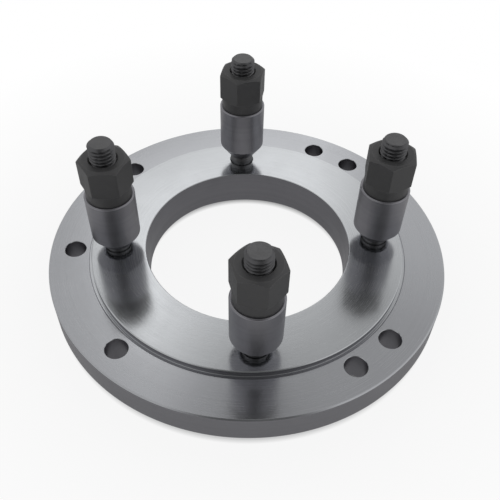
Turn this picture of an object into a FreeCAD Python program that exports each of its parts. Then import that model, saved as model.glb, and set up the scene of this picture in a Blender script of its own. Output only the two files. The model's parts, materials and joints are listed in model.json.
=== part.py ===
import FreeCAD, Part
import os

from FreeCAD import Placement, Rotation, Vector
from Sketcher import Constraint

doc = FreeCAD.newDocument("chuck_adapter_plate")

# Driving dimensions, in millimetres and degrees

DIMENSIONS = [
    # Raised seat for the spindle nose, with a relief groove turned round its foot
    ("seat_diameter", 126),
    ("seat_height", 2.5),
    ("seat_edge_chamfer", 0.3),
    ("relief_groove_width", 2.2),
    ("relief_groove_depth", 0.8),
    # Flange of the plate, a ground steel ring that reaches out past the seat
    ("flange_ledge_width", 17),
    ("flange_thickness", 12.5),
    ("flange_edge_chamfer", 0.5),
    # Short taper that centres the plate on the spindle nose, and the straight throat below it
    ("taper_mouth_diameter", 82.563),
    ("taper_half_angle", 7.125),
    ("taper_length", 6),
    ("taper_mouth_chamfer", 0.2),
    ("throat_length", 8.4),
    # Chuck side: the register that enters the chuck's recess, hollowed inside; like the
    # seat it stays clear of the bolt holes
    ("register_inset", 0.5),
    ("register_height", 4),
    ("register_chamfer", 0.5),
    ("hollow_diameter", 90),
    # Circle of studs, one in each tapped hole
    ("stud_circle_diameter", 104.8),
    ("stud_count", 4),
    ("thread_diameter", 9.6),
    ("thread_clearance", 0.05),
    ("tapped_hole_countersink", 0.5),
    ("stud_root_length", 16),
    ("stud_end_chamfer", 1),
    ("shank_diameter", 10),
    ("shank_length", 2.5),
    # The studs were cut to slightly unequal lengths: their reach above the seat
    ("stud_reach_1", 50),
    ("stud_reach_2", 52),
    ("stud_reach_3", 51),
    ("stud_reach_4", 50),
    # Plain bolt holes for a three-jaw and for a four-jaw chuck, on one circle round the seat
    ("bolt_hole_offset", 7),
    ("bolt_hole_diameter", 8.4),
    ("bolt_hole_chamfer", 0.2),
    ("three_jaw_bolt_count", 3),
    ("four_jaw_bolt_count", 4),
    ("three_jaw_turn", 60),
    ("four_jaw_turn", 45),
    # Collar under each locknut
    ("collar_diameter", 19),
    ("collar_length", 24.5),
    ("collar_nose_diameter", 12.6),
    ("collar_nose_height", 4.7),
    ("collar_top_chamfer", 0.4),
    ("collar_bore_clearance", 0.3),
    # Locknut: a hexagon on a round foot, with a pilot that swivels in the collar
    ("nut_across_flats", 17),
    ("nut_hexagon_height", 12),
    ("nut_face_diameter", 15.6),
    ("nut_chamfer_angle", 30),
    ("nut_foot_diameter", 17.2),
    ("nut_foot_height", 4.5),
    ("nut_thread_countersink", 0.6),
    ("pilot_diameter", 12.8),
    ("pilot_length", 4.5),
    ("pilot_lip_diameter", 13.8),
    ("pilot_lip_height", 0.8),
    ("swivel_clearance", 0.1),
    # Where each locknut stands on its stud: the height of its collar above the seat, and the
    # turn of its hexagon
    ("collar_standoff_1", 3),
    ("collar_standoff_2", 5.5),
    ("collar_standoff_3", 3),
    ("collar_standoff_4", 3.5),
    ("nut_turn_1", 20),
    ("nut_turn_2", 15),
    ("nut_turn_3", 2),
    ("nut_turn_4", 44),
]

dims = doc.addObject("Spreadsheet::Sheet", "dims")
for row, (alias, value) in enumerate(DIMENSIONS, start=1):
    dims.set(f"A{row}", alias)
    dims.set(f"B{row}", str(value))
    dims.setAlias(f"B{row}", alias)
doc.recompute()

# Radii of the plate, and heights that several pieces share, from the register's end face

SEAT_RADIUS = "(dims.seat_diameter / 2)"
FLANGE_RADIUS = f"({SEAT_RADIUS} + dims.flange_ledge_width)"
REGISTER_RADIUS = f"({SEAT_RADIUS} - dims.register_inset)"
BOLT_CIRCLE_RADIUS = f"({SEAT_RADIUS} + dims.bolt_hole_offset)"
FLANGE_TOP = "(dims.register_height + dims.flange_thickness)"
SEAT_TOP = "(dims.register_height + dims.flange_thickness + dims.seat_height)"
TAPPED_RADIUS = "(dims.thread_diameter / 2 + dims.thread_clearance)"


def value_of(expression):
    return dims.evalExpression(expression)


def origin_feature(body, role):
    return next(f for f in body.Origin.OriginFeatures if f.Role == role)


def add_sketch(body, name, plane, offset=None):
    sketch = body.newObject("Sketcher::SketchObject", name)
    sketch.AttachmentSupport = (origin_feature(body, plane), [""])
    sketch.MapMode = "FlatFace"
    if offset is not None:
        sketch.AttachmentOffset = offset
    return sketch


def place_point(sketch, line, end, corner, label):
    """Ties one end of a line to its distances from the sketch's origin."""
    for axis, kind, expression in zip("xy", ("DistanceX", "DistanceY"), corner):
        if expression == "0":
            # on one of the sketch's own axes: -2 is the upright one, -1 the level one
            sketch.addConstraint(Constraint("PointOnObject", line, end, -2 if axis == "x" else -1))
            continue
        row = sketch.addConstraint(Constraint(kind, -1, 1, line, end, value_of(expression)))
        sketch.renameConstraint(row, f"{label}_{axis}")
        sketch.setExpression(f"Constraints.{label}_{axis}", expression)


def add_outline(sketch, corners):
    """Closes straight lines through corners, each given as two expressions: radius and height."""
    points = [Vector(value_of(x), value_of(y), 0) for x, y in corners]
    for start, end in zip(points, points[1:] + points[:1]):
        sketch.addGeometry(Part.LineSegment(start, end), False)
    for line, corner in enumerate(corners):
        before = (line - 1) % len(corners)
        sketch.addConstraint(Constraint("Coincident", before, 2, line, 1))
        place_point(sketch, line, 1, corner, f"corner{line}")


def turn(body, name, corners):
    """Turns an outline about the body's upright axis, as on a lathe."""
    sketch = add_sketch(body, f"{name}_outline", "XZ_Plane")
    add_outline(sketch, corners)
    turned = body.newObject("PartDesign::Revolution", name)
    turned.Profile = sketch
    turned.ReferenceAxis = (sketch, ["V_Axis"])
    turned.Angle = 360
    sketch.Visibility = False
    return turned


def drill_circle(body, name, centre, radius, countersink, bottom, top, turned, count):
    """Drills a hole with a countersunk rim at both ends, and repeats it round the axis."""
    offset = Placement(Vector(), Rotation(Vector(0, 1, 0), value_of(turned)))
    sketch = add_sketch(body, f"{name}_outline", "XZ_Plane", offset)
    sketch.setExpression("AttachmentOffset.Rotation.Angle", turned)
    wall = f"{centre} + {radius}"
    rim = f"{wall} + 2 * {countersink}"
    add_outline(
        sketch,
        [
            (centre, f"{bottom} - {countersink}"),
            (rim, f"{bottom} - {countersink}"),
            (wall, f"{bottom} + {countersink}"),
            (wall, f"{top} - {countersink}"),
            (rim, f"{top} + {countersink}"),
            (centre, f"{top} + {countersink}"),
        ],
    )
    low = Vector(value_of(centre), value_of(bottom), 0)
    high = Vector(value_of(centre), value_of(top), 0)
    axis_line = sketch.addGeometry(Part.LineSegment(low, high), True)
    place_point(sketch, axis_line, 1, (centre, bottom), "axis_low")
    place_point(sketch, axis_line, 2, (centre, top), "axis_high")
    hole = body.newObject("PartDesign::Groove", name)
    hole.Profile = sketch
    hole.ReferenceAxis = (sketch, ["Axis0"])
    hole.Angle = 360
    sketch.Visibility = False
    circle_of_holes = body.newObject("PartDesign::PolarPattern", f"{name}s")
    circle_of_holes.Originals = [hole]
    circle_of_holes.Axis = (origin_feature(body, "Z_Axis"), [""])
    circle_of_holes.Angle = 360
    circle_of_holes.setExpression("Occurrences", count)
    body.Tip = circle_of_holes


# Adapter plate: one turned and ground ring, with all its holes

plate = doc.addObject("PartDesign::Body", "adapter_plate")
plate.Label = "adapter_plate"
turn(
    plate,
    "turned_ring",
    [
        ("dims.hollow_diameter / 2", "0"),
        (f"{REGISTER_RADIUS} - dims.register_chamfer", "0"),
        (REGISTER_RADIUS, "dims.register_chamfer"),
        (REGISTER_RADIUS, "dims.register_height"),
        (f"{FLANGE_RADIUS} - dims.flange_edge_chamfer", "dims.register_height"),
        (FLANGE_RADIUS, "dims.register_height + dims.flange_edge_chamfer"),
        (FLANGE_RADIUS, f"{FLANGE_TOP} - dims.flange_edge_chamfer"),
        (f"{FLANGE_RADIUS} - dims.flange_edge_chamfer", FLANGE_TOP),
        (f"{SEAT_RADIUS} + dims.relief_groove_width", FLANGE_TOP),
        (
            f"{SEAT_RADIUS} + dims.relief_groove_width - dims.relief_groove_depth / 2",
            f"{FLANGE_TOP} - dims.relief_groove_depth",
        ),
        (SEAT_RADIUS, f"{FLANGE_TOP} - dims.relief_groove_depth"),
        (SEAT_RADIUS, f"{SEAT_TOP} - dims.seat_edge_chamfer"),
        (f"{SEAT_RADIUS} - dims.seat_edge_chamfer", SEAT_TOP),
        ("dims.taper_mouth_diameter / 2 + dims.taper_mouth_chamfer", SEAT_TOP),
        (
            "dims.taper_mouth_diameter / 2 - dims.taper_mouth_chamfer * tan(dims.taper_half_angle)",
            f"{SEAT_TOP} - dims.taper_mouth_chamfer",
        ),
        (
            "dims.taper_mouth_diameter / 2 - dims.taper_length * tan(dims.taper_half_angle)",
            f"{SEAT_TOP} - dims.taper_length",
        ),
        (
            "dims.taper_mouth_diameter / 2 - dims.taper_length * tan(dims.taper_half_angle)",
            f"{SEAT_TOP} - dims.taper_length - dims.throat_length",
        ),
        ("dims.hollow_diameter / 2", f"{SEAT_TOP} - dims.taper_length - dims.throat_length"),
    ],
)
drill_circle(
    plate,
    "tapped_hole",
    centre="dims.stud_circle_diameter / 2",
    radius=TAPPED_RADIUS,
    countersink="dims.tapped_hole_countersink",
    bottom="0",
    top=SEAT_TOP,
    turned="0",
    count="dims.stud_count",
)
for chuck in ("three_jaw", "four_jaw"):
    drill_circle(
        plate,
        f"{chuck}_bolt_hole",
        centre=BOLT_CIRCLE_RADIUS,
        radius="dims.bolt_hole_diameter / 2",
        countersink="dims.bolt_hole_chamfer",
        bottom="dims.register_height",
        top=FLANGE_TOP,
        turned=f"dims.{chuck}_turn",
        count=f"dims.{chuck}_bolt_count",
    )


def add_seated_body(piece, index, height, first_turn="0"):
    """A body on the axis of stud number index, its own zero at the given height."""
    body = doc.addObject("PartDesign::Body", f"{piece}_{index + 1}")
    body.Label = f"{piece}_{index + 1}"
    around = f"{index} * 360 / dims.stud_count"
    # a small turn about the upright axis sets the axis that the expression then turns about
    body.Placement = Placement(Vector(0, 0, 1), Rotation(Vector(0, 0, 1), 1))
    body.setExpression("Placement.Base.x", f"dims.stud_circle_diameter / 2 * cos({around})")
    body.setExpression("Placement.Base.y", f"dims.stud_circle_diameter / 2 * sin({around})")
    body.setExpression("Placement.Base.z", height)
    body.setExpression("Placement.Rotation.Angle", first_turn)
    return body


# Stud: screwed into the plate by its root, with a plain shank just above the seat

def add_stud(index):
    stud = add_seated_body("stud", index, SEAT_TOP)
    reach = f"dims.stud_reach_{index + 1}"
    turn(
        stud,
        "stud_blank",
        [
            ("0", "0 - dims.stud_root_length"),
            ("dims.thread_diameter / 2 - dims.stud_end_chamfer", "0 - dims.stud_root_length"),
            ("dims.thread_diameter / 2", "dims.stud_end_chamfer - dims.stud_root_length"),
            ("dims.thread_diameter / 2", "0"),
            ("dims.shank_diameter / 2", "0"),
            ("dims.shank_diameter / 2", "dims.shank_length"),
            ("dims.thread_diameter / 2", "dims.shank_length"),
            ("dims.thread_diameter / 2", f"{reach} - dims.stud_end_chamfer"),
            ("dims.thread_diameter / 2 - dims.stud_end_chamfer", reach),
            ("0", reach),
        ],
    )


# Collar: a round sleeve with a tapered nose, and a grooved socket for the nut's pilot

COLLAR_BORE = "dims.shank_diameter / 2 + dims.collar_bore_clearance"
SOCKET_RADIUS = "dims.pilot_diameter / 2 + dims.swivel_clearance"
SOCKET_GROOVE_RADIUS = "dims.pilot_lip_diameter / 2 + dims.swivel_clearance"
SOCKET_FLOOR = "dims.collar_length - dims.pilot_length - dims.swivel_clearance"
SOCKET_GROOVE_TOP = (
    "dims.collar_length - dims.pilot_length + dims.pilot_lip_height + dims.swivel_clearance"
)


def add_collar(index):
    collar = add_seated_body("collar", index, f"{SEAT_TOP} + dims.collar_standoff_{index + 1}")
    turn(
        collar,
        "turned_sleeve",
        [
            (COLLAR_BORE, "0"),
            ("dims.collar_nose_diameter / 2", "0"),
            ("dims.collar_diameter / 2", "dims.collar_nose_height"),
            ("dims.collar_diameter / 2", "dims.collar_length - dims.collar_top_chamfer"),
            ("dims.collar_diameter / 2 - dims.collar_top_chamfer", "dims.collar_length"),
            (SOCKET_RADIUS, "dims.collar_length"),
            (SOCKET_RADIUS, SOCKET_GROOVE_TOP),
            (SOCKET_GROOVE_RADIUS, SOCKET_GROOVE_TOP),
            (SOCKET_GROOVE_RADIUS, SOCKET_FLOOR),
            (COLLAR_BORE, SOCKET_FLOOR),
        ],
    )


# Locknut: turned from hexagon bar, its pilot lipped over inside the collar's groove

NUT_TOP = "(dims.nut_foot_height + dims.nut_hexagon_height)"
NUT_CORNER_RADIUS = "(dims.nut_across_flats / 2 / cos(30))"


def add_locknut(index):
    collar_top = f"{SEAT_TOP} + dims.collar_standoff_{index + 1} + dims.collar_length"
    locknut = add_seated_body("locknut", index, collar_top, f"dims.nut_turn_{index + 1}")
    chamfer_rise = "tan(dims.nut_chamfer_angle)"
    turn(
        locknut,
        "turned_blank",
        [
            (TAPPED_RADIUS, "0 - dims.pilot_length"),
            ("dims.pilot_lip_diameter / 2", "0 - dims.pilot_length"),
            ("dims.pilot_lip_diameter / 2", "dims.pilot_lip_height - dims.pilot_length"),
            ("dims.pilot_diameter / 2", "dims.pilot_lip_height - dims.pilot_length"),
            ("dims.pilot_diameter / 2", "0"),
            ("dims.nut_foot_diameter / 2", "0"),
            ("dims.nut_foot_diameter / 2", "dims.nut_foot_height"),
            (
                NUT_CORNER_RADIUS,
                "dims.nut_foot_height"
                f" + ({NUT_CORNER_RADIUS} - dims.nut_foot_diameter / 2) * {chamfer_rise}",
            ),
            (
                NUT_CORNER_RADIUS,
                f"{NUT_TOP} - ({NUT_CORNER_RADIUS} - dims.nut_face_diameter / 2) * {chamfer_rise}",
            ),
            ("dims.nut_face_diameter / 2", NUT_TOP),
            (f"{TAPPED_RADIUS} + dims.nut_thread_countersink", NUT_TOP),
            (TAPPED_RADIUS, f"{NUT_TOP} - dims.nut_thread_countersink"),
        ],
    )
    raise_flats = Placement(Vector(0, 0, value_of("dims.nut_foot_height")), Rotation())
    sketch = add_sketch(locknut, "hexagon_outline", "XY_Plane", raise_flats)
    sketch.setExpression("AttachmentOffset.Base.z", "dims.nut_foot_height")
    add_hexagon_and_ring(sketch)
    flats = locknut.newObject("PartDesign::Pocket", "six_flats")
    flats.Profile = sketch
    flats.Reversed = True
    flats.Type = "Length"
    flats.Length = value_of("dims.nut_hexagon_height")
    flats.setExpression("Length", "dims.nut_hexagon_height")
    sketch.Visibility = False


def add_hexagon_and_ring(sketch):
    """A hexagon inside a ring well clear of its corners: what lies between is milled off."""
    corner_radius = value_of(NUT_CORNER_RADIUS)
    corners = []
    for step in range(6):
        corners.append(Rotation(Vector(0, 0, 1), 60 * step).multVec(Vector(corner_radius, 0, 0)))
    for start, end in zip(corners, corners[1:] + corners[:1]):
        sketch.addGeometry(Part.LineSegment(start, end), False)
    up = Vector(0, 0, 1)
    corner_circle = sketch.addGeometry(Part.Circle(Vector(), up, corner_radius), True)
    ring = sketch.addGeometry(Part.Circle(Vector(), up, 2 * corner_radius), False)
    for side in range(6):
        sketch.addConstraint(Constraint("Coincident", side, 2, (side + 1) % 6, 1))
        sketch.addConstraint(Constraint("PointOnObject", side, 1, corner_circle))
    for side in range(1, 6):
        sketch.addConstraint(Constraint("Equal", 0, side))
    sketch.addConstraint(Constraint("PointOnObject", 0, 1, -1))
    for circle, name, expression in (
        (corner_circle, "corner_radius", NUT_CORNER_RADIUS),
        (ring, "ring_radius", f"2 * {NUT_CORNER_RADIUS}"),
    ):
        sketch.addConstraint(Constraint("Coincident", circle, 3, -1, 1))
        row = sketch.addConstraint(Constraint("Radius", circle, value_of(expression)))
        sketch.renameConstraint(row, name)
        sketch.setExpression(f"Constraints.{name}", expression)


for number in range(int(value_of("dims.stud_count"))):
    add_stud(number)
    add_collar(number)
    add_locknut(number)

doc.recompute()

# Every object has to be sound before anything is written

for item in doc.Objects:
    if "Invalid" in item.State or "Error" in item.State:
        raise RuntimeError(f"{item.Name} did not compute: {item.State}")

bodies = [item for item in doc.Objects if item.TypeId == "PartDesign::Body"]
for body in bodies:
    for feature in body.Group:
        if feature.TypeId in ("PartDesign::Groove", "PartDesign::Pocket"):
            before, after = feature.BaseFeature.Shape.Volume, feature.Shape.Volume
            if after >= before:
                raise RuntimeError(f"{feature.Name} removed nothing")
    shape = body.Shape
    if shape.isNull() or not shape.isValid() or len(shape.Solids) != 1:
        raise RuntimeError(f"{body.Label} is not one sound solid")

os.makedirs("parts", exist_ok=True)
for body in bodies:
    body.Shape.exportStep(f"parts/{body.Label}.step")
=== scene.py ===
import json
from math import cos, radians, sin, tan

import bpy
import numpy as np
from mathutils import Matrix, Vector

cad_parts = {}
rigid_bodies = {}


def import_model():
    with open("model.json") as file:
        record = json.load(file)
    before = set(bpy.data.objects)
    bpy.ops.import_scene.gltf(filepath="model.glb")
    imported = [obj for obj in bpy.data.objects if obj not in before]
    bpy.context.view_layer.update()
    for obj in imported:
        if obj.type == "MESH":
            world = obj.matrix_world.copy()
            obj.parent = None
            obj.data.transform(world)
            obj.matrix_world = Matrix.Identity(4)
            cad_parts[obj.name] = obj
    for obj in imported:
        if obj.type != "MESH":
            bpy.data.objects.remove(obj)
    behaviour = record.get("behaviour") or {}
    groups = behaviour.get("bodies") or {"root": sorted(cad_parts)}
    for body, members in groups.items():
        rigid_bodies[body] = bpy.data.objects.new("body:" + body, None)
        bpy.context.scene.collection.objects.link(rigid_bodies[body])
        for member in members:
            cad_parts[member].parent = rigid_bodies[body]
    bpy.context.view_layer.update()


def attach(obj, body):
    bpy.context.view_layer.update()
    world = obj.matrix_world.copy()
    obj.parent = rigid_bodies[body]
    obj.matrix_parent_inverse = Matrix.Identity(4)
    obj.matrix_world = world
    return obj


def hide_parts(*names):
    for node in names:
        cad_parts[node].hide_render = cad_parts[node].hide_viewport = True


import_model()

# The plate is a ring turned from one forged blank of steel and ground on its faces. The raised
# seat has a relief groove round its foot, the bore is the short taper that centres the plate on
# the spindle nose, and the chuck's register stands out below.

MM = 0.001
SEAT_RADIUS, FLANGE_RADIUS, REGISTER_RADIUS = 63.0, 80.0, 62.5
REGISTER_HEIGHT, FLANGE_TOP, SEAT_TOP = 4.0, 16.5, 19.0
TAPER_MOUTH_RADIUS, TAPER_LENGTH, TAPER_ANGLE = 41.28, 6.0, radians(7.125)
MOUTH_CHAMFER, THROAT_LENGTH, HOLLOW_RADIUS = 0.2, 8.4, 45.0
GROOVE_WIDTH, GROOVE_DEPTH = 1.2, 0.2
BOLT_CIRCLE_RADIUS, BOLT_HOLE_RADIUS, BOLT_HOLE_CHAMFER = 70.0, 4.2, 0.2
BOLT_HOLE_TURNS = (60, 180, 300, 45, 135, 225, 315)
STUD_CIRCLE_RADIUS, TAPPED_RADIUS, TAPPED_CHAMFER = 52.4, 4.85, 0.5
STUD_TURNS = (0, 90, 180, 270)


def soften(corners, radius, capped, steps=3, guard=0.12):
    """Rounds every corner of an outline with an arc that is tangent to both of its sides.

    The arc's centre lies on the corner's bisector, radius / sin(half the angle) away, and the
    radius shrinks where a side is short. A guard row on each side of the arc keeps the flat
    beside it flat. Returns the points, and 1 for those on an arc and 0 for the others.
    """
    before, after = np.roll(corners, 1, axis=0), np.roll(corners, -1, axis=0)
    back, ahead = before - corners, after - corners
    back_length = np.linalg.norm(back, axis=-1, keepdims=True)
    ahead_length = np.linalg.norm(ahead, axis=-1, keepdims=True)
    back, ahead = back / back_length, ahead / ahead_length
    half = np.arccos(np.clip((back * ahead).sum(-1, keepdims=True), -0.9999, 0.9999)) / 2
    reach = np.minimum(radius / np.tan(half), 0.35 * np.minimum(back_length, ahead_length))
    radius = reach * np.tan(half)
    bisector = back + ahead
    bisector = bisector / np.linalg.norm(bisector, axis=-1, keepdims=True)
    centre = corners + bisector * radius / np.sin(half)
    first = (corners + back * reach - centre) / radius
    last = (corners + ahead * reach - centre) / radius
    turned = np.pi - 2 * half
    share = np.linspace(0, 1, steps + 1).reshape((-1,) + (1,) * corners.ndim)
    arc = centre + radius * (
        np.sin((1 - share) * turned) * first + np.sin(share * turned) * last
    ) / np.sin(turned)
    guard_back = corners + back * np.minimum(reach + guard, 0.45 * back_length)
    guard_ahead = corners + ahead * np.minimum(reach + guard, 0.45 * ahead_length)
    rows = np.concatenate([guard_back[None], arc, guard_ahead[None]]).swapaxes(0, 1)
    rounded = np.zeros(rows.shape[:-1])
    rounded[:, 1:-1] = 1
    if capped:
        rows = np.concatenate([corners[:1], rows[1:-1].reshape((-1,) + corners.shape[1:]), corners[-1:]])
        inner = rounded[1:-1].reshape((-1,) + corners.shape[1:-1])
        ends = np.zeros((1,) + corners.shape[1:-1])
        return rows, np.concatenate([ends, inner, ends])
    return rows.reshape((-1,) + corners.shape[1:]), rounded.reshape((-1,) + corners.shape[1:-1])


def turned_faces(rows, columns, capped):
    """Quads between the rows of a grid whose columns close round the axis.

    An uncapped grid's last row joins its first. A capped grid's first and last rows are single
    points, joined to the next row by triangles.
    """
    column = np.arange(columns)
    beside = (column + 1) % columns
    if not capped:
        row = np.arange(rows)[:, None] * columns
        above = (np.arange(rows)[:, None] + 1) % rows * columns
        quads = np.stack([row + column, row + beside, above + beside, above + column], -1)
        return quads.reshape(-1, 4).tolist()
    row = 1 + np.arange(rows - 3)[:, None] * columns
    quads = np.stack(
        [row + column, row + beside, row + columns + beside, row + columns + column], -1
    ).reshape(-1, 4)
    top_row = 1 + (rows - 3) * columns
    tip = top_row + columns
    low = np.stack([np.zeros(columns, int), 1 + beside, 1 + column], -1)
    high = np.stack([top_row + column, top_row + beside, np.full(columns, tip)], -1)
    return quads.tolist() + low.tolist() + high.tolist()


def turned_mesh(name, outline, rounded, angles, axis=(0.0, 0.0), capped=False):
    """Carries an outline of radius and height round an axis: x = radius cos a, y = radius sin a.

    The outline is in millimetres, one row of points for each of its own points, and may differ
    from column to column. The length run along it and the rounded edges go into attributes.
    """
    radius = np.broadcast_to(outline[..., 0], (len(outline), len(angles)))
    height = np.broadcast_to(outline[..., 1], (len(outline), len(angles)))
    points = np.stack(
        [axis[0] + radius * np.cos(angles), axis[1] + radius * np.sin(angles), height], -1
    )
    steps = np.hypot(np.diff(radius, axis=0), np.diff(height, axis=0))
    along = np.concatenate([np.zeros((1, len(angles))), np.cumsum(steps, axis=0)])
    rounded = np.broadcast_to(rounded, radius.shape)
    if capped:
        points = np.concatenate([points[0, :1], points[1:-1].reshape(-1, 3), points[-1, :1]])
        along = np.concatenate([along[0, :1], along[1:-1].ravel(), along[-1, :1]])
        rounded = np.concatenate([rounded[0, :1], rounded[1:-1].ravel(), rounded[-1, :1]])
    mesh = bpy.data.meshes.new(name)
    faces = turned_faces(len(outline), len(angles), capped)
    mesh.from_pydata((points.reshape(-1, 3) * MM).tolist(), [], faces)
    for label, values in (("along", along * MM), ("edge", rounded)):
        attribute = mesh.attributes.new(label, "FLOAT", "POINT")
        attribute.data.foreach_set("value", values.ravel().astype(np.float32))
    mesh.update()
    return mesh


def show(name, mesh):
    """Puts a mesh into the scene, smooth over its arcs and sharp over what turns further."""
    mesh.polygons.foreach_set("use_smooth", np.ones(len(mesh.polygons), bool))
    mesh.set_sharp_from_angle(angle=radians(35))
    piece = bpy.data.objects.new(name, mesh)
    bpy.context.collection.objects.link(piece)
    return piece


def round_the_axis(columns):
    """Angles of the columns, evenly spaced once round."""
    return np.linspace(0, 2 * np.pi, columns, endpoint=False)


def on_circle(radius, turn):
    """The point x = radius cos(turn), y = radius sin(turn), with the turn in degrees."""
    return radius * cos(radians(turn)), radius * sin(radians(turn))


throat_radius = TAPER_MOUTH_RADIUS - TAPER_LENGTH * tan(TAPER_ANGLE)
throat_foot = SEAT_TOP - TAPER_LENGTH - THROAT_LENGTH
ring_corners = np.array([
    (HOLLOW_RADIUS, 0),
    (REGISTER_RADIUS - 0.5, 0),
    (REGISTER_RADIUS, 0.5),
    (REGISTER_RADIUS, REGISTER_HEIGHT),
    (FLANGE_RADIUS - 0.5, REGISTER_HEIGHT),
    (FLANGE_RADIUS, REGISTER_HEIGHT + 0.5),
    (FLANGE_RADIUS, FLANGE_TOP - 0.5),
    (FLANGE_RADIUS - 0.5, FLANGE_TOP),
    (SEAT_RADIUS + GROOVE_WIDTH, FLANGE_TOP),
    (SEAT_RADIUS + GROOVE_WIDTH - GROOVE_DEPTH / 2, FLANGE_TOP - GROOVE_DEPTH),
    (SEAT_RADIUS, FLANGE_TOP - GROOVE_DEPTH),
    (SEAT_RADIUS, SEAT_TOP - 0.3),
    (SEAT_RADIUS - 0.3, SEAT_TOP),
    (TAPER_MOUTH_RADIUS + MOUTH_CHAMFER, SEAT_TOP),
    (TAPER_MOUTH_RADIUS - MOUTH_CHAMFER * tan(TAPER_ANGLE), SEAT_TOP - MOUTH_CHAMFER),
    (throat_radius, SEAT_TOP - TAPER_LENGTH),
    (throat_radius, throat_foot),
    (HOLLOW_RADIUS, throat_foot),
], float)[:, None]
ring_outline, ring_rounded = soften(ring_corners, 0.12, capped=False)
blank = show("plate_blank", turned_mesh("plate_blank", ring_outline, ring_rounded, round_the_axis(288)))


def hole_cutter(name, radius, chamfer, bottom, top, axis):
    """The space of a drilled hole with a chamfer at both mouths, a little longer than the wall."""
    rim = radius + 2 * chamfer
    corners = np.array([
        (0, bottom - chamfer),
        (rim, bottom - chamfer),
        (radius, bottom + chamfer),
        (radius, top - chamfer),
        (rim, top + chamfer),
        (0, top + chamfer),
    ], float)[:, None]
    outline, rounded = soften(corners, 0.1, capped=True)
    return show(name, turned_mesh(name, outline, rounded, round_the_axis(64), axis, capped=True))


cutters = bpy.data.collections.new("drills")
bpy.context.scene.collection.children.link(cutters)
for turn in BOLT_HOLE_TURNS:
    drill = hole_cutter(
        f"drill_{turn}", BOLT_HOLE_RADIUS, BOLT_HOLE_CHAMFER, REGISTER_HEIGHT, FLANGE_TOP,
        on_circle(BOLT_CIRCLE_RADIUS, turn),
    )
    cutters.objects.link(drill)
for turn in STUD_TURNS:
    drill = hole_cutter(
        f"tap_{turn}", TAPPED_RADIUS, TAPPED_CHAMFER, 0.0, SEAT_TOP, on_circle(STUD_CIRCLE_RADIUS, turn)
    )
    cutters.objects.link(drill)
drilling = blank.modifiers.new("drilling", "BOOLEAN")
drilling.operation = "DIFFERENCE"
drilling.solver = "EXACT"
drilling.operand_type = "COLLECTION"
drilling.collection = cutters
depsgraph = bpy.context.evaluated_depsgraph_get()
ring_mesh = bpy.data.meshes.new_from_object(blank.evaluated_get(depsgraph))
ring_mesh.name = "ground_ring"
for drill in list(cutters.objects):
    bpy.data.objects.remove(drill)
bpy.data.collections.remove(cutters)
bpy.data.objects.remove(blank)
ring = show("ground_ring", ring_mesh)


def feed(tree, socket, value):
    """Links a socket to another one, or sets its number or colour."""
    if isinstance(value, bpy.types.NodeSocket):
        tree.links.new(value, socket)
    else:
        socket.default_value = value


def add_node(tree, kind, *values, settings=(), **inputs):
    """Adds a shader node and feeds its inputs, in their order or by their label."""
    node = tree.nodes.new(kind)
    for name, setting in dict(settings).items():
        setattr(node, name, setting)
    for socket, value in zip(node.inputs, values):
        feed(tree, socket, value)
    for label, value in inputs.items():
        feed(tree, node.inputs[label.replace("_", " ")], value)
    return node


def math_node(tree, operation, *values):
    return add_node(tree, "ShaderNodeMath", *values, settings={"operation": operation}).outputs[0]


def remap(tree, value, low, high, to_low, to_high):
    """Carries a range over to another one in proportion, and holds it at both ends."""
    node = add_node(
        tree, "ShaderNodeMapRange",
        Value=value, From_Min=low, From_Max=high, To_Min=to_low, To_Max=to_high,
    )
    return node.outputs["Result"]


def new_group(name, inputs, outputs):
    """A node group with named float inputs and outputs, and its two end nodes."""
    group = bpy.data.node_groups.new(name, "ShaderNodeTree")
    for label, default in inputs:
        socket = group.interface.new_socket(name=label, in_out="INPUT", socket_type="NodeSocketFloat")
        socket.default_value = default
    for label, kind in outputs:
        group.interface.new_socket(name=label, in_out="OUTPUT", socket_type=kind)
    return group, group.nodes.new("NodeGroupInput"), group.nodes.new("NodeGroupOutput")


# Marks of the tool: fine lines of uneven depth, one beside the other along a distance
lathe_marks, marks_in, marks_out = new_group(
    "lathe_marks",
    [("Distance", 0.0), ("Pitch", 0.0002)],
    [("Height", "NodeSocketFloat"), ("Tone", "NodeSocketFloat")],
)
line_count = math_node(lathe_marks, "DIVIDE", marks_in.outputs["Distance"], marks_in.outputs["Pitch"])
in_a_row = {"noise_dimensions": "1D"}
fine_lines = add_node(
    lathe_marks, "ShaderNodeTexNoise", settings=in_a_row,
    W=line_count, Scale=1.0, Detail=3.0, Roughness=0.7,
)
bands = add_node(
    lathe_marks, "ShaderNodeTexNoise", settings=in_a_row,
    W=line_count, Scale=0.07, Detail=2.0, Roughness=0.5,
)
lathe_marks.links.new(fine_lines.outputs["Fac"], marks_out.inputs["Height"])
band_tone = math_node(lathe_marks, "MULTIPLY", bands.outputs["Fac"], 0.6)
tone = math_node(lathe_marks, "MULTIPLY_ADD", fine_lines.outputs["Fac"], 0.4, band_tone)
lathe_marks.links.new(tone, marks_out.inputs["Tone"])

# Film of oil and handling: soft clouds that dull the gloss here and there
handling, handling_in, handling_out = new_group(
    "handling", [("Size", 0.02)], [("Cloud", "NodeSocketFloat"), ("Speck", "NodeSocketFloat")]
)
place = handling.nodes.new("ShaderNodeTexCoord").outputs["Object"]
cloud_scale = math_node(handling, "DIVIDE", 1.0, handling_in.outputs["Size"])
cloud = add_node(handling, "ShaderNodeTexNoise", Vector=place, Scale=cloud_scale, Detail=4.0, Roughness=0.6)
speck_scale = math_node(handling, "MULTIPLY", cloud_scale, 14.0)
speck = add_node(handling, "ShaderNodeTexNoise", Vector=place, Scale=speck_scale, Detail=2.0, Roughness=0.6)
handling.links.new(cloud.outputs["Fac"], handling_out.inputs["Cloud"])
handling.links.new(speck.outputs["Fac"], handling_out.inputs["Speck"])


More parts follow.
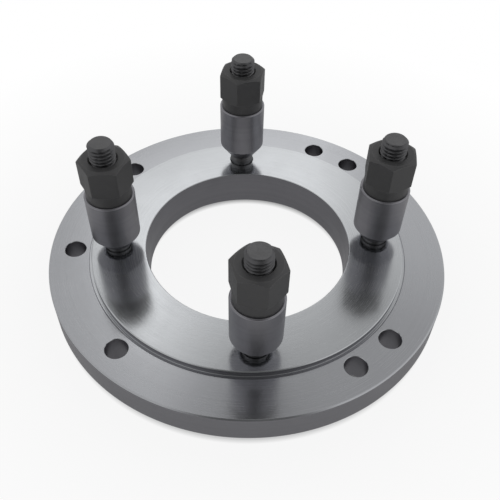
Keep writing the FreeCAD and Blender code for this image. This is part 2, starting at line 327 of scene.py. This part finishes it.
def place_group(tree, group, **inputs):
    return add_node(tree, "ShaderNodeGroup", settings={"node_tree": group}, **inputs)


def new_material(name, **fixed):
    """A material with one Principled shader, whose fixed numbers stand on its own sockets."""
    material = bpy.data.materials.new(name)
    material.use_nodes = True
    tree = material.node_tree
    shader = tree.nodes["Principled BSDF"]
    for label, value in fixed.items():
        feed(tree, shader.inputs[label.replace("_", " ")], value)
    return material, tree, shader


def blend_colours(tree, share, first, second):
    """A colour that goes from the first to the second as the share goes from 0 to 1."""
    node = add_node(tree, "ShaderNodeMix", settings={"data_type": "RGBA"})
    named = {socket.identifier: socket for socket in node.inputs}
    feed(tree, named["Factor_Float"], share)
    feed(tree, named["A_Color"], first)
    feed(tree, named["B_Color"], second)
    return next(socket for socket in node.outputs if socket.identifier == "Result_Color")


def levelness(tree):
    """How squarely a surface faces up or down: the height of its true normal, from 0 to 1."""
    geometry = tree.nodes.new("ShaderNodeNewGeometry")
    facing = add_node(tree, "ShaderNodeSeparateXYZ", Vector=geometry.outputs["True Normal"])
    return math_node(tree, "ABSOLUTE", facing.outputs["Z"])


# Ground steel: bright on the faces, which are ground; rougher on the turned walls, whose darker tone is
# painted shade
ground_steel, tree, shader = new_material("ground_steel", Metallic=1.0)
coordinates = tree.nodes.new("ShaderNodeTexCoord").outputs["Object"]
position = add_node(tree, "ShaderNodeSeparateXYZ", Vector=coordinates)
flat_position = add_node(tree, "ShaderNodeCombineXYZ", X=position.outputs["X"], Y=position.outputs["Y"])
distance_out = add_node(
    tree, "ShaderNodeVectorMath", flat_position.outputs["Vector"], settings={"operation": "LENGTH"}
)
ring_radius = distance_out.outputs["Value"]
on_face = remap(tree, levelness(tree), 0.5, 0.65, 0.0, 1.0)
swept = math_node(tree, "ADD", ring_radius, position.outputs["Z"])
marks = place_group(tree, lathe_marks, Distance=swept, Pitch=0.00013)
wear = place_group(tree, handling, Size=0.018)
on_seat = remap(tree, ring_radius, 0.0640, 0.0635, 0.0, 1.0)
# The walls' tone is painted shade: much darker than the faces', standing in for the dim floor they reflect
painted_shade_wall_tone = blend_colours(tree, marks.outputs["Tone"], (0.242, 0.24, 0.258, 1), (0.305, 0.302, 0.324, 1))
flange_tone = blend_colours(tree, marks.outputs["Tone"], (0.55, 0.56, 0.585, 1), (0.61, 0.622, 0.65, 1))
seat_tone = blend_colours(tree, marks.outputs["Tone"], (0.65, 0.668, 0.69, 1), (0.71, 0.73, 0.75, 1))
face_tone = blend_colours(tree, on_seat, flange_tone, seat_tone)
tree.links.new(blend_colours(tree, on_face, painted_shade_wall_tone, face_tone), shader.inputs["Base Color"])
dull_lines = remap(tree, marks.outputs["Height"], 0.50, 0.66, 0.0, 0.12)
face_gloss = math_node(tree, "ADD", dull_lines, remap(tree, wear.outputs["Cloud"], 0.3, 0.7, 0.13, 0.19))
wall_gloss = remap(tree, wear.outputs["Cloud"], 0.3, 0.7, 0.34, 0.42)
gloss = math_node(
    tree, "ADD", math_node(tree, "MULTIPLY", on_face, face_gloss),
    math_node(tree, "MULTIPLY", math_node(tree, "SUBTRACT", 1.0, on_face), wall_gloss),
)
tree.links.new(gloss, shader.inputs["Roughness"])
relief = add_node(tree, "ShaderNodeBump", Height=marks.outputs["Height"], Strength=0.07, Distance=0.00001)
tree.links.new(relief.outputs["Normal"], shader.inputs["Normal"])

ring.data.materials.clear()
ring.data.materials.append(ground_steel)
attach(ring, "plate")
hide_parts("adapter_plate")

# Four studs of hardened steel are screwed home into the ring. Each has a plain shank just above
# the seat and a cut thread from there to its chamfered end.

THREAD_PITCH, THREAD_RADIUS, THREAD_DEPTH = 1.5, 4.8, 0.86
STUD_FOOT, SHANK_RADIUS, SHANK_TOP = 3.0, 5.0, 21.5
STUD_ENDS = (69.0, 71.0, 70.0, 69.0)
ROOT_TIP_RADIUS, ROOT_CHAMFER, END_CHAMFER = 3.75, 1.05, 1.0
ROWS_PER_TURN = 10


def stud_surface(number, turn, stud_end):
    """Radius over height and angle: a plain cylinder, then a right-hand thread.

    The thread's depth is a flat-topped wave of height / pitch - angle / one turn. It fades in
    over one pitch above the shank, and the end chamfer cuts it off.
    """
    angles = round_the_axis(64)
    plain = np.array([
        (0, STUD_FOOT), (ROOT_TIP_RADIUS, STUD_FOOT), (THREAD_RADIUS, STUD_FOOT + ROOT_CHAMFER),
        (THREAD_RADIUS, SEAT_TOP - 0.1), (THREAD_RADIUS, SEAT_TOP), (SHANK_RADIUS, SEAT_TOP + 0.05),
        (SHANK_RADIUS, SHANK_TOP - 0.25), (THREAD_RADIUS, SHANK_TOP),
    ], float)
    heights = np.arange(SHANK_TOP + 0.1, stud_end - 0.02, THREAD_PITCH / ROWS_PER_TURN)
    threaded = np.stack([np.full(len(heights), THREAD_RADIUS), heights], -1)
    end = np.array([
        (THREAD_RADIUS, stud_end - 0.01), (THREAD_RADIUS, stud_end), (2.0, stud_end), (0, stud_end),
    ])
    outline = np.concatenate([plain, threaded, end])[:, None] * np.ones((1, len(angles), 1))
    height = outline[..., 1]
    phase = height / THREAD_PITCH - angles / (2 * np.pi)
    wave = np.clip(0.5 + 1.6 * (np.abs(phase % 1 - 0.5) * 4 - 1) / 2, 0, 1)
    depth = THREAD_DEPTH * wave * np.clip((height - SHANK_TOP) / THREAD_PITCH, 0, 1)
    chamfer = stud_end - height + THREAD_RADIUS - END_CHAMFER
    outline[..., 0] = np.minimum(outline[..., 0] - depth * (outline[..., 0] > 4), np.maximum(chamfer, 0))
    axis = on_circle(STUD_CIRCLE_RADIUS, turn)
    return turned_mesh(f"threaded_stud_{number}", outline, 0.0, angles, axis, capped=True)


stud_steel, tree, shader = new_material("stud_steel", Metallic=1.0)
on_end = remap(tree, levelness(tree), 0.9, 0.98, 0.0, 1.0)
wear = place_group(tree, handling, Size=0.004)
dark_tone = blend_colours(tree, wear.outputs["Cloud"], (0.11, 0.11, 0.114, 1), (0.19, 0.19, 0.197, 1))
end_tone = blend_colours(tree, wear.outputs["Speck"], (0.11, 0.11, 0.112, 1), (0.22, 0.22, 0.224, 1))
tree.links.new(blend_colours(tree, on_end, dark_tone, end_tone), shader.inputs["Base Color"])
tree.links.new(remap(tree, wear.outputs["Cloud"], 0.3, 0.7, 0.32, 0.45), shader.inputs["Roughness"])

for number, (turn, stud_end) in enumerate(zip(STUD_TURNS, STUD_ENDS), start=1):
    stud = show(f"threaded_stud_{number}", stud_surface(number, turn, stud_end))
    stud.data.materials.append(stud_steel)
    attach(stud, "plate")
    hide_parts(f"stud_{number}")

# A round collar of bright turned steel hangs under each locknut. Its nose tapers down to the
# stud, and the nut's pilot swivels in the grooved socket in its top.

COLLAR_FEET = (22.0, 24.5, 22.0, 22.5)
COLLAR_LENGTH, COLLAR_RADIUS, COLLAR_BORE_RADIUS, COLLAR_CHAMFER = 24.5, 9.5, 5.3, 0.4
NOSE_RADIUS, NOSE_HEIGHT, SEAT_CLEARANCE = 6.3, 4.7, 0.02
SOCKET_RADIUS, SOCKET_GROOVE_RADIUS, SOCKET_GROOVE_TOP, SOCKET_FLOOR = 6.5, 7.0, 20.9, 19.9
collar_corners = np.array([
    (COLLAR_BORE_RADIUS, SEAT_CLEARANCE),
    (NOSE_RADIUS, SEAT_CLEARANCE),
    (COLLAR_RADIUS, NOSE_HEIGHT),
    (COLLAR_RADIUS, COLLAR_LENGTH - COLLAR_CHAMFER),
    (COLLAR_RADIUS - COLLAR_CHAMFER, COLLAR_LENGTH),
    (SOCKET_RADIUS, COLLAR_LENGTH),
    (SOCKET_RADIUS, SOCKET_GROOVE_TOP),
    (SOCKET_GROOVE_RADIUS, SOCKET_GROOVE_TOP),
    (SOCKET_GROOVE_RADIUS, SOCKET_FLOOR),
    (COLLAR_BORE_RADIUS, SOCKET_FLOOR),
], float)[:, None]

turned_steel, tree, shader = new_material("turned_steel", Metallic=1.0)
along = tree.nodes.new("ShaderNodeAttribute")
along.attribute_name = "along"
edge = tree.nodes.new("ShaderNodeAttribute")
edge.attribute_name = "edge"
marks = place_group(tree, lathe_marks, Distance=along.outputs["Fac"], Pitch=0.00018)
wear = place_group(tree, handling, Size=0.006)
tone = blend_colours(tree, marks.outputs["Tone"], (0.23, 0.228, 0.246, 1), (0.33, 0.327, 0.352, 1))
# Painted highlight: the rounded edges get a lighter tone than the turned steel round them
tone_with_painted_edge_highlights = blend_colours(tree, edge.outputs["Fac"], tone, (0.40, 0.396, 0.425, 1))
tree.links.new(tone_with_painted_edge_highlights, shader.inputs["Base Color"])
tree.links.new(remap(tree, wear.outputs["Cloud"], 0.3, 0.7, 0.32, 0.44), shader.inputs["Roughness"])
relief = add_node(tree, "ShaderNodeBump", Height=marks.outputs["Height"], Strength=0.25, Distance=0.00001)
tree.links.new(relief.outputs["Normal"], shader.inputs["Normal"])

for number, (turn, foot) in enumerate(zip(STUD_TURNS, COLLAR_FEET), start=1):
    outline, rounded = soften(collar_corners + np.array([0, foot]), 0.18, capped=False)
    mesh = turned_mesh(
        f"turned_collar_{number}", outline, rounded, round_the_axis(96), on_circle(STUD_CIRCLE_RADIUS, turn)
    )
    collar = show(f"turned_collar_{number}", mesh)
    collar.data.materials.append(turned_steel)
    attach(collar, f"collar_{number}_body")
    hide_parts(f"collar_{number}")

# The locknuts are cut from hexagon bar with a round foot, chamfered at both ends of the
# hexagon and blackened in hot oxide. A lipped pilot below the foot stays in the collar.

NUT_TURNS = (20, 15, 2, 44)
NUT_FLAT_RADIUS, NUT_TOP, NUT_FOOT_TOP = 8.5, 16.5, 4.5
NUT_FACE_RADIUS, NUT_FOOT_RADIUS, NUT_CHAMFER = 7.8, 8.6, tan(radians(30))
NUT_BORE_RADIUS, NUT_MOUTH_CHAMFER, CORNER_ROUNDING = 4.85, 0.6, 0.35
PILOT_RADIUS, PILOT_DEPTH, PILOT_LIP_RADIUS, PILOT_LIP_HEIGHT = 6.4, 4.5, 6.9, 0.8


def hexagon_outline():
    """Angle and radius of a hexagon with rounded corners, 14 points to a side.

    A corner's arc has its centre on the corner's own ray, so that the arc meets both flats.
    """
    centre_distance = (NUT_FLAT_RADIUS - CORNER_ROUNDING) / cos(radians(30))
    swing = np.radians(np.linspace(-30, 30, 6))
    arc = np.stack([centre_distance + CORNER_ROUNDING * np.cos(swing), CORNER_ROUNDING * np.sin(swing)], -1)
    half_flat = centre_distance / 2 * np.array([0.93, 0.7, 0.4, 0, -0.4, -0.7, -0.93])
    along_flat = np.stack([np.full(7, NUT_FLAT_RADIUS), half_flat * -1], -1)
    spin = np.radians(60 * np.arange(6))
    turned_arc = spin_points(arc, spin)
    turned_flat = spin_points(along_flat, spin + radians(30))
    points = np.concatenate([turned_arc, turned_flat], axis=1).reshape(-1, 2)
    return np.arctan2(points[:, 1], points[:, 0]), np.hypot(points[:, 0], points[:, 1])


def spin_points(points, angles):
    """Copies of a list of points, each turned about the origin by one of the angles."""
    x = points[:, 0] * np.cos(angles)[:, None] - points[:, 1] * np.sin(angles)[:, None]
    y = points[:, 0] * np.sin(angles)[:, None] + points[:, 1] * np.cos(angles)[:, None]
    return np.stack([x, y], -1)


black_oxide, tree, shader = new_material("black_oxide", Metallic=0.5)
edge = tree.nodes.new("ShaderNodeAttribute")
edge.attribute_name = "edge"
wear = place_group(tree, handling, Size=0.005)
oxide_tone = blend_colours(tree, wear.outputs["Cloud"], (0.095, 0.095, 0.097, 1), (0.14, 0.14, 0.142, 1))
# Painted highlight: the rounded edges get a lighter grey, broken up into patches by the specks
patchy = remap(tree, wear.outputs["Speck"], 0.45, 0.7, 0.1, 0.8)
patchy_painted_edge_highlight = math_node(tree, "MULTIPLY", edge.outputs["Fac"], patchy)
tree.links.new(blend_colours(tree, patchy_painted_edge_highlight, oxide_tone, (0.2, 0.2, 0.2, 1)), shader.inputs["Base Color"])
tree.links.new(remap(tree, wear.outputs["Cloud"], 0.3, 0.7, 0.45, 0.58), shader.inputs["Roughness"])
relief = add_node(tree, "ShaderNodeBump", Height=wear.outputs["Speck"], Strength=0.15, Distance=0.00003)
tree.links.new(relief.outputs["Normal"], shader.inputs["Normal"])

hexagon_angles, hexagon_radii = hexagon_outline()
for number, (turn, foot) in enumerate(zip(STUD_TURNS, COLLAR_FEET), start=1):
    full = np.ones_like(hexagon_radii)
    nut_corners = np.stack([
        np.stack([radius * full, height * full], -1)
        for radius, height in (
            (NUT_BORE_RADIUS, -PILOT_DEPTH), (PILOT_LIP_RADIUS, -PILOT_DEPTH),
            (PILOT_LIP_RADIUS, PILOT_LIP_HEIGHT - PILOT_DEPTH),
            (PILOT_RADIUS, PILOT_LIP_HEIGHT - PILOT_DEPTH), (PILOT_RADIUS, 0),
            (NUT_FOOT_RADIUS, 0), (NUT_FOOT_RADIUS, NUT_FOOT_TOP - 0.02),
            (hexagon_radii, NUT_FOOT_TOP + np.maximum(hexagon_radii - NUT_FOOT_RADIUS, 0) * NUT_CHAMFER),
            (hexagon_radii, NUT_TOP - (hexagon_radii - NUT_FACE_RADIUS) * NUT_CHAMFER),
            (NUT_FACE_RADIUS, NUT_TOP), (NUT_BORE_RADIUS + NUT_MOUTH_CHAMFER, NUT_TOP),
            (NUT_BORE_RADIUS, NUT_TOP - NUT_MOUTH_CHAMFER),
        )
    ])
    outline, rounded = soften(nut_corners + np.array([0, foot + COLLAR_LENGTH]), 0.15, capped=False)
    turn_of_nut = radians(NUT_TURNS[number - 1])
    mesh = turned_mesh(
        f"blackened_locknut_{number}", outline, rounded, hexagon_angles + turn_of_nut,
        on_circle(STUD_CIRCLE_RADIUS, turn),
    )
    locknut = show(f"blackened_locknut_{number}", mesh)
    locknut.data.materials.append(black_oxide)
    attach(locknut, f"locknut_{number}_body")
    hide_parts(f"locknut_{number}")

# The plate lies on a pale floor in front of a white background. The floor is white to the
# camera away from the plate, keeps a soft shadow near it, and is dark where the plate covers it.

FLOOR_HALF_SIDE = 3.0
SHADED_REACH, WHITE_REACH, SHADED_SHARE = 0.085, 0.2, 0.9
COVERED_MIDDLE, COVERED_HALF_WIDTH, OPEN_HALF_WIDTH, COVERED_SHARE = 0.061, 0.015, 0.019, 0.08
floor_mesh = bpy.data.meshes.new("floor")
floor_corners = np.array([(-1, -1, 0), (1, -1, 0), (1, 1, 0), (-1, 1, 0)]) * FLOOR_HALF_SIDE
floor_mesh.from_pydata(floor_corners.tolist(), [], [(0, 1, 2, 3)])
floor = show("floor", floor_mesh)

pale_floor, tree, shader = new_material("pale_floor", Roughness=0.9, Base_Color=(0.8, 0.8, 0.8, 1))
rays = tree.nodes.new("ShaderNodeLightPath")
white = add_node(tree, "ShaderNodeEmission", Color=(1, 1, 1, 1), Strength=1.0)
spot = tree.nodes.new("ShaderNodeTexCoord").outputs["Object"]
from_axis = add_node(tree, "ShaderNodeVectorMath", spot, settings={"operation": "LENGTH"}).outputs["Value"]
open_floor = remap(tree, from_axis, SHADED_REACH, WHITE_REACH, SHADED_SHARE, 1.0)
off_middle = math_node(tree, "ABSOLUTE", math_node(tree, "SUBTRACT", from_axis, COVERED_MIDDLE))
not_covered = remap(tree, off_middle, COVERED_HALF_WIDTH, OPEN_HALF_WIDTH, COVERED_SHARE, 1.0)
plainly_seen = math_node(tree, "ADD", rays.outputs["Is Camera Ray"], rays.outputs["Is Transmission Ray"])
in_metal = math_node(tree, "MULTIPLY", rays.outputs["Is Glossy Ray"], 0.25)
whitening = math_node(
    tree, "MULTIPLY_ADD", math_node(tree, "MULTIPLY", plainly_seen, open_floor), not_covered, in_metal
)
to_white = add_node(tree, "ShaderNodeMixShader", whitening, shader.outputs["BSDF"], white.outputs["Emission"])
tree.links.new(to_white.outputs["Shader"], tree.nodes["Material Output"].inputs["Surface"])
floor.data.materials.append(pale_floor)

# A pale studio: grey walls, dimmer at the right, one big soft white sheet at the far side that
# dims towards its top and is brightest at its left end, and a dark gap in the wall where the
# camera stands. A direction is told by its slope to the side, its slope upwards and its height.

WALL_LEVEL, LEFT_WALL_LEVEL, RIGHT_SHADE = 0.6, 0.5, 0.22
SHEET_LEVEL, SHEET_TOP_LEVEL, LEFT_END_GAIN = 1.05, 0.25, 0.35
GAP_LEVEL, GLOSSY_WHITE_SHARE = 0.15, 0.05


def height_of(elevation):
    """Height of a direction of length 1 at an elevation in degrees: its sine."""
    return sin(radians(elevation))


world = bpy.data.worlds.new("studio")
bpy.context.scene.world = world
world.use_nodes = True
tree = world.node_tree
background = tree.nodes["Background"]
rays = tree.nodes.new("ShaderNodeLightPath")
generated = tree.nodes.new("ShaderNodeTexCoord").outputs["Generated"]
direction = add_node(tree, "ShaderNodeSeparateXYZ", Vector=generated)
height = direction.outputs["Z"]
height_squared = math_node(tree, "POWER", height, 2.0)
level_reach = math_node(tree, "POWER", math_node(tree, "SUBTRACT", 1.0, height_squared), 0.5)
ahead = math_node(tree, "MAXIMUM", direction.outputs["Y"], 0.02)
aside = math_node(tree, "DIVIDE", direction.outputs["X"], ahead)
climb = math_node(tree, "DIVIDE", height, level_reach)

off_sheet_middle = math_node(tree, "ABSOLUTE", math_node(tree, "SUBTRACT", aside, 0.01))
sheet_sides = remap(tree, off_sheet_middle, 0.30, 0.20, 0.0, 1.0)
sheet_foot = remap(tree, math_node(tree, "MULTIPLY_ADD", aside, 0.35, climb), 0.75, 0.80, 0.0, 1.0)
on_sheet = math_node(tree, "MULTIPLY", sheet_sides, sheet_foot)
slanted = math_node(tree, "MULTIPLY_ADD", math_node(tree, "MINIMUM", aside, 0.05), 0.35, height)
sheet_fade = remap(tree, slanted, height_of(45), height_of(60), SHEET_LEVEL, SHEET_TOP_LEVEL)
left_end = remap(tree, aside, -0.09, -0.14, 0.0, 1.0)
off_glow_height = math_node(tree, "ABSOLUTE", math_node(tree, "SUBTRACT", height, height_of(50.5)))
glow = remap(tree, off_glow_height, 0.02, 0.05, LEFT_END_GAIN, 0.0)
sheet_level = math_node(tree, "MULTIPLY_ADD", left_end, glow, sheet_fade)

right_side = remap(tree, aside, 0.1, 0.3, 0.0, 1.0)
right_shade = remap(tree, height, height_of(44), height_of(51), 0.0, RIGHT_SHADE)
left_wall = remap(tree, aside, -0.2, 0.0, LEFT_WALL_LEVEL, WALL_LEVEL)
shaded = math_node(tree, "MULTIPLY", right_side, right_shade)
wall_level = math_node(tree, "SUBTRACT", left_wall, shaded)

sheet_over_wall = math_node(tree, "SUBTRACT", sheet_level, wall_level)
lit = math_node(tree, "MULTIPLY_ADD", on_sheet, sheet_over_wall, wall_level)
towards_camera = math_node(tree, "DIVIDE", direction.outputs["Y"], level_reach)
gap = remap(tree, towards_camera, -0.95, -0.75, GAP_LEVEL, 1.0)
studio_level = math_node(tree, "MULTIPLY", lit, gap)
studio_white = add_node(
    tree, "ShaderNodeCombineColor", Red=studio_level, Green=studio_level, Blue=studio_level
)
plainly_seen = math_node(tree, "ADD", rays.outputs["Is Camera Ray"], rays.outputs["Is Transmission Ray"])
in_metal = math_node(tree, "MULTIPLY", rays.outputs["Is Glossy Ray"], GLOSSY_WHITE_SHARE)
seen_white = math_node(tree, "ADD", plainly_seen, in_metal)
seen = blend_colours(tree, seen_white, studio_white.outputs["Color"], (1, 1, 1, 1))
tree.links.new(seen, background.inputs["Color"])

# The camera stands where the photographer's did: above the near stud, a little to its left

VIEW_TURN, VIEW_ELEVATION, VIEW_DISTANCE = radians(-4.05), radians(46.13), 0.26585
AIM_YAW, AIM_PITCH, AIM_ROLL = radians(-0.228), radians(-0.877), radians(-1.373)
FOCAL_PIXELS, PICTURE_WIDTH, SENSOR_WIDTH = 648.9, 500, 36.0

camera_data = bpy.data.cameras.new("camera")
camera_data.sensor_width = SENSOR_WIDTH
camera_data.lens = FOCAL_PIXELS / PICTURE_WIDTH * SENSOR_WIDTH
camera_data.clip_start = 0.01
camera = bpy.data.objects.new("camera", camera_data)
bpy.context.collection.objects.link(camera)
bpy.context.scene.camera = camera
stand = Vector((0, -cos(VIEW_ELEVATION), sin(VIEW_ELEVATION))) * VIEW_DISTANCE
aim = (
    Matrix.Rotation(radians(90) - VIEW_ELEVATION, 4, "X")
    @ Matrix.Rotation(AIM_YAW, 4, "Y")
    @ Matrix.Rotation(AIM_PITCH, 4, "X")
    @ Matrix.Rotation(-AIM_ROLL, 4, "Z")
)
seat_centre = Matrix.Translation((0, 0, SEAT_TOP * MM))
camera.matrix_world = seat_centre @ Matrix.Rotation(VIEW_TURN, 4, "Z") @ Matrix.Translation(stand) @ aim

bpy.context.scene.view_settings.view_transform = "Standard"
